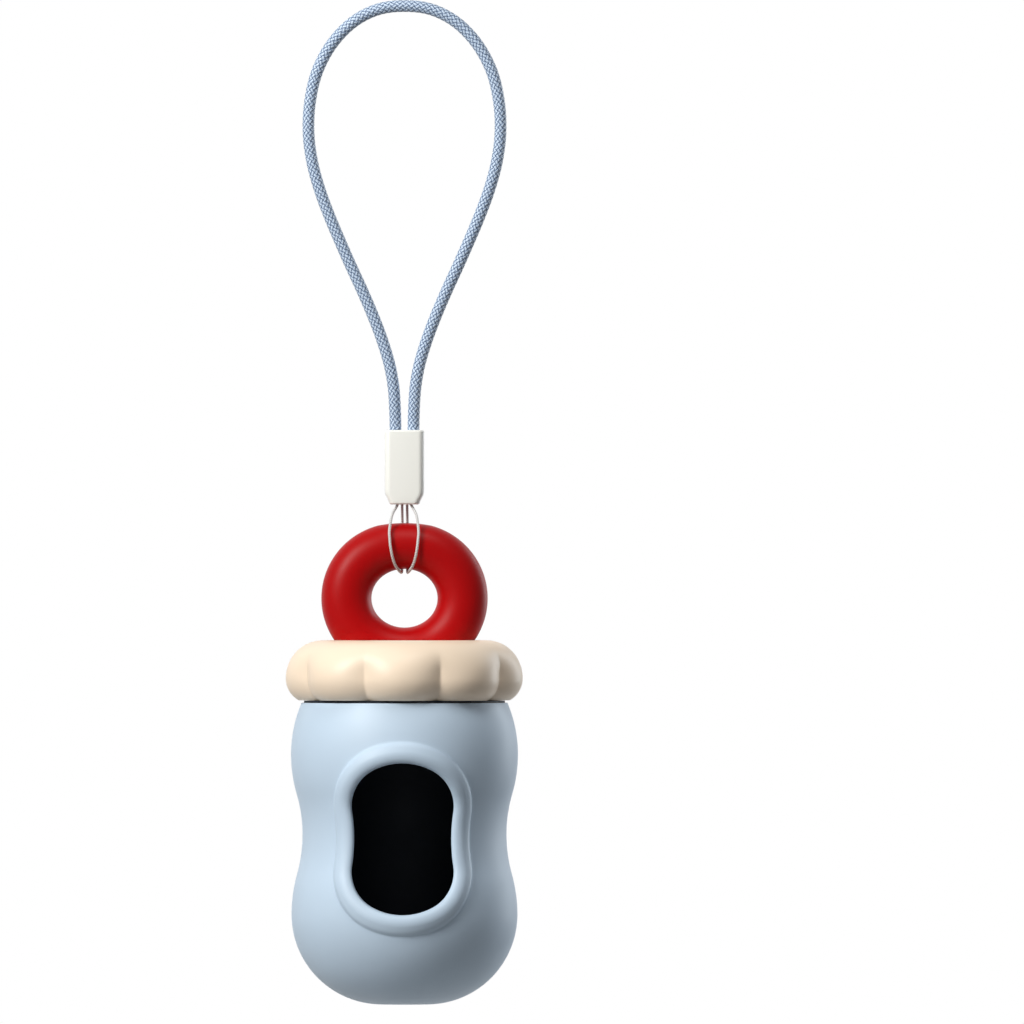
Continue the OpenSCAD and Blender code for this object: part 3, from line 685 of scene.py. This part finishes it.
band_profile = [(BAND_IN_R, BAND_Z - BAND_H / 2 + BAND_GAP)]
for level in (-1, 1):
    rib_z = BAND_Z + level * (BAND_H / 2 - RIB_R - BAND_GAP)
    for a in np.linspace(-pi / 2, pi / 2, 9):
        band_profile.append((BAND_OUT_R - RIB_R + RIB_R * cos(a), rib_z + RIB_R * sin(a)))
band_profile.append((BAND_IN_R, BAND_Z + BAND_H / 2 - BAND_GAP))
band = turned("grip_band_ribbed", band_profile)
smooth_by_angle(band, 40)
band.data.materials.append(moulded("band_rubber_dark", srgb(52, 52, 55), 0.6))
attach(band, "cap")
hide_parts("grip_band")

# Cup: a rigid moulded cup inside the silicone, coloured near-black, with a window of the same outline
# and a thin flange that covers the silicone's top edge. It keeps the part's own shape.
finish_part("inner_cup", moulded("cup_coloured_near_black", (0.006, 0.009, 0.016), 0.6, specular=0.2))

# Skin: one moulded piece of soft silicone rubber, stretched over the cup: an hourglass bottle
# with a rounded base. Round the window its wall rises in one broad soft roll.
BOTTLE_H = 60.3
BASE_Z = SKIN_TOP - BOTTLE_H
POCKET_R = 18.5
BULGE_R, WAIST_R, SHOULDER_R, MOUTH_R = POCKET_R + 4.1, POCKET_R + 1.9, POCKET_R + 4.2, POCKET_R + 2.1
WAIST_H, SHOULDER_H, BASE_ROUND, BASE_FLAT_R = 34.0, 50.0, 18.0, 5.5
SKIN_FLOOR, CUP_ROUND = 2.0, 12.0


def s_radius(r0, h0, r1, h1):
    """Radius of the two equal arcs of an S that starts and ends upright."""
    return ((h1 - h0) ** 2 + (r1 - r0) ** 2) / (4 * abs(r1 - r0))


def arc_steps(cx, cy, r, start, end, count):
    """Points on an arc from start up to just before end, which are in degrees."""
    points = []
    for i in range(count):
        a = radians(start + (end - start) * i / count)
        points.append((cx + r * cos(a), cy + r * sin(a)))
    return points


def arc_points(cx, cy, r, start, end, step=0.5):
    return arc_steps(cx, cy, r, start, end, max(int(abs(radians(end - start)) * r / step), 2))


corner_x = BULGE_R - BASE_ROUND
flat_angle = degrees(acos((BASE_FLAT_R - corner_x) / BASE_ROUND))
bulge_h = BASE_ROUND * sin(radians(flat_angle))
low_r = s_radius(BULGE_R, bulge_h, WAIST_R, WAIST_H)
up_r = s_radius(WAIST_R, WAIST_H, SHOULDER_R, SHOULDER_H)
low_turn = degrees(asin((WAIST_H - bulge_h) / 2 / low_r))
up_turn = degrees(asin((SHOULDER_H - WAIST_H) / 2 / up_r))
mouth_drop = SHOULDER_R - MOUTH_R
mouth_r = ((BOTTLE_H - SHOULDER_H) ** 2 + mouth_drop ** 2) / (2 * mouth_drop)
mouth_turn = degrees(asin((BOTTLE_H - SHOULDER_H) / mouth_r))
bottle_line = (arc_points(corner_x, bulge_h, BASE_ROUND, -flat_angle, 0)
               + arc_points(BULGE_R - low_r, bulge_h, low_r, 0, low_turn)
               + arc_points(WAIST_R + low_r, WAIST_H, low_r, 180 + low_turn, 180)
               + arc_points(WAIST_R + up_r, WAIST_H, up_r, 180, 180 - up_turn)
               + arc_points(SHOULDER_R - up_r, SHOULDER_H, up_r, -up_turn, 0)
               + arc_points(SHOULDER_R - mouth_r, SHOULDER_H, mouth_r, 0, mouth_turn)
               + [(MOUTH_R, BOTTLE_H)])
pocket_line = (arc_points(POCKET_R - CUP_ROUND, SKIN_FLOOR + CUP_ROUND, CUP_ROUND, -90, 0)
               + [(POCKET_R, SKIN_FLOOR + CUP_ROUND), (POCKET_R, BOTTLE_H)])


class Outline:
    """A turned outline: its radius, its height and the length along it from its lower end."""

    def __init__(self, points):
        self.r, self.h = np.array(points, float).T
        self.v = np.concatenate(([0], np.cumsum(np.hypot(np.diff(self.r), np.diff(self.h)))))
        self.length = self.v[-1]

    def at(self, v):
        return np.interp(v, self.v, self.r), np.interp(v, self.v, self.h)

    def length_at(self, h):
        return np.interp(h, self.h, self.v)

    def radius(self, h):
        return np.interp(h, self.h, self.r)


outside, pocket = Outline(bottle_line), Outline(pocket_line)

WINDOW_W, WINDOW_NIP, WINDOW_H, WINDOW_LOBES, WINDOW_MID = 20.4, 0.5, 30.3, 13.2, 33.2
LOBE_SIDE_R = 8.0
WAIST_STEPS, LOBE_STEPS, END_STEPS = 14, 26, 16
waist_w = WINDOW_W - 2 * WINDOW_NIP
waist_r = (WINDOW_NIP ** 2 + (WINDOW_LOBES / 2) ** 2) / (2 * WINDOW_NIP) - LOBE_SIDE_R
side_x = WINDOW_W / 2 - LOBE_SIDE_R
rise = WINDOW_H / 2 - WINDOW_LOBES / 2
end_r = (side_x ** 2 + rise ** 2 - LOBE_SIDE_R ** 2) / (2 * (rise - LOBE_SIDE_R))
end_z = WINDOW_H / 2 - end_r
waist_sweep = degrees(atan2(WINDOW_LOBES / 2, waist_w / 2 + waist_r - side_x))
end_sweep = degrees(atan2(side_x, WINDOW_LOBES / 2 - end_z))
quarter_line = (arc_steps(waist_w / 2 + waist_r, 0, waist_r, 180, 180 - waist_sweep, WAIST_STEPS)
                + arc_steps(side_x, WINDOW_LOBES / 2, LOBE_SIDE_R, -waist_sweep, 90 - end_sweep, LOBE_STEPS)
                + arc_steps(0, end_z, end_r, 90 - end_sweep, 90, END_STEPS))
QUARTER = len(quarter_line)
HALF, STATIONS = 2 * QUARTER, 4 * QUARTER
upper_left = [(-x, z) for x, z in quarter_line[:0:-1]]
lower_left = [(-x, -z) for x, z in quarter_line]
lower_right = [(x, -z) for x, z in quarter_line[:0:-1]]
window_line = np.array(quarter_line + [(0, WINDOW_H / 2)] + upper_left
                       + lower_left + [(0, -WINDOW_H / 2)] + lower_right)
heights = WINDOW_MID + window_line[:, 1]
radii = outside.radius(heights)
skin_line = np.stack((radii * np.arcsin(window_line[:, 0] / radii), heights), axis=1)
tangent = np.roll(skin_line, -1, 0) - np.roll(skin_line, 1, 0)
tangent /= np.linalg.norm(tangent, axis=1)[:, None]
outward = np.stack((tangent[:, 1], -tangent[:, 0]), axis=1)

RIM_W, RIM_H, RIM_STEP = 4.3, 1.2, 0.035
# The roll's section, as shares of its width and height, from the window's edge outwards
RIM_POINTS = [(0, 0), (0.02, 0.3), (0.06, 0.52), (0.12, 0.71), (0.2, 0.86), (0.3, 0.96), (0.41, 1),
              (0.52, 0.97), (0.62, 0.88), (0.71, 0.78), (0.79, 0.67), (0.87, 0.5), (0.94, 0.26),
              (1, 0.06), (1.08, 0)]
rim_section = smooth_route([(x, y, 0) for x, y in RIM_POINTS], RIM_STEP)[:, :2]

# Lines run over the wall from each point of the window's edge. Those from the middle of its two
# sides meet at the back, and the others end at the bottle's open top or round its floor's flat.
SEAM = 17
index = np.arange(STATIONS)
from_side = np.minimum(index % HALF, HALF - index % HALF)
share_up = np.minimum(from_side / SEAM, 1)
share_round = np.maximum((from_side - SEAM) / (QUARTER - SEAM), 0)
on_right = (index < QUARTER) | (index > HALF + QUARTER)
side_of = np.where(index % HALF == QUARTER, 0, np.where(on_right, 1, -1))
upward = index <= HALF
OUTSIDE_STEPS, INSIDE_STEPS, STEP_EASE = 64, 24, 1.15


def blend_lines(start_angle, start_v, outline, middle_v, steps):
    """Lines over a turned outline, from the window's edge to the back and the two ends."""
    end_angle = side_of * pi * (1 - share_round)
    end_v = np.where(upward, middle_v + (outline.length - middle_v) * share_up, middle_v * (1 - share_up))
    lines = []
    for j in range(1, steps + 1):
        t = (j / steps) ** STEP_EASE
        r, h = outline.at(start_v + (end_v - start_v) * t)
        a = start_angle + (end_angle - start_angle) * t
        lines.append(np.stack((r * np.sin(a), -r * np.cos(a), BASE_Z + h), axis=1))
    return lines


columns = []
for share, lift in rim_section:
    q = skin_line + share * RIM_W * outward
    r = outside.radius(q[:, 1])
    a = q[:, 0] / r
    raised = r + lift * RIM_H
    columns.append(np.stack((raised * np.sin(a), -raised * np.cos(a), BASE_Z + q[:, 1]), axis=1))
last = skin_line + rim_section[-1, 0] * RIM_W * outward
columns += blend_lines(last[:, 0] / outside.radius(last[:, 1]), outside.length_at(last[:, 1]), outside,
                       outside.length_at(WINDOW_MID), OUTSIDE_STEPS)
inner = blend_lines(np.arcsin(window_line[:, 0] / POCKET_R), pocket.length_at(heights), pocket,
                    pocket.length_at(WINDOW_MID), INSIDE_STEPS)
edge_depth = -np.sqrt(POCKET_R ** 2 - window_line[:, 0] ** 2)
edge = np.stack((window_line[:, 0], edge_depth, BASE_Z + heights), axis=1)
columns = inner[::-1] + [edge] + columns
grid = np.stack(columns, axis=1)
COUNT = grid.shape[1]


def number(i, k):
    """A point's number in the mesh. Behind the window, the ends of the left and right lines are
    the same points."""
    i %= STATIONS
    if k in (0, COUNT - 1) and side_of[i] < 0 and share_round[i] == 0:
        i = (HALF - i) % STATIONS
    return i * COUNT + k


faces = []
for i in range(STATIONS):
    for k in range(COUNT - 1):
        faces.append((number(i, k), number(i + 1, k), number(i + 1, k + 1), number(i, k + 1)))
for i in range(SEAM, HALF - SEAM):
    faces.append((number(i, COUNT - 1), number(i + 1, COUNT - 1), number(i + 1, 0), number(i, 0)))
below = list(range(HALF + SEAM, STATIONS - SEAM))
faces.append(tuple(number(i, 0) for i in below[::-1]))
faces.append(tuple(number(i, COUNT - 1) for i in below))
shape = bmesh.new()
corners = [shape.verts.new(Vector(p) * MM) for p in grid.reshape(-1, 3)]
for face in faces:
    shape.faces.new([corners[n] for n in face])
bmesh.ops.delete(shape, geom=[v for v in shape.verts if not v.link_faces], context="VERTS")
bmesh.ops.recalc_face_normals(shape, faces=shape.faces)
mesh = bpy.data.meshes.new("bottle_skin_moulded")
shape.to_mesh(mesh)
shape.free()
skin = new_piece("bottle_skin_moulded", mesh)
smooth_by_angle(skin, 40)
skin.data.materials.append(moulded("skin_silicone_blue", srgb(197, 217, 237), 0.5))
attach(skin, "bottle")
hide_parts("bottle_skin")
